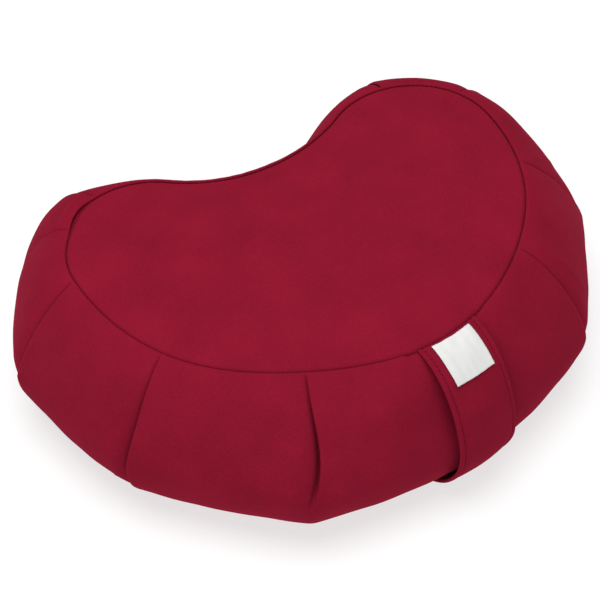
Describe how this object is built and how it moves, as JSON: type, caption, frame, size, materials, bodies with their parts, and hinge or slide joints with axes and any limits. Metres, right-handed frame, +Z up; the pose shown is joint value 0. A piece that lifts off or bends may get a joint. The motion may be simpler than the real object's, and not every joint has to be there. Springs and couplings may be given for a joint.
{
  "type": "crescent meditation cushion",
  "caption": "Kidney-shaped filled floor cushion with a low crowned top, pleated side band, heel hollow at the back and a carry strap sewn in at the front.",
  "frame": {"origin": "on the floor, under the middle of the whole cushion", "axes": "+X across the cushion along its longest side, +Y towards the heel hollow, -Y towards the carry strap, +Z up"},
  "size_m": [0.4719, 0.3628, 0.142],
  "materials": {
    "side_cloth": "brushed cotton, matt",
    "panel_cloth": "brushed cotton, matt",
    "strap_cloth": "brushed cotton, matt, doubled",
    "label_cloth": "plain woven, slight sheen"
  },
  "bodies": {
    "root": {"side_band": "side_cloth", "top_panel": "panel_cloth", "bottom_panel": "panel_cloth", "handle_strap": "strap_cloth", "label": "label_cloth"}
  },
  "joints": []
}
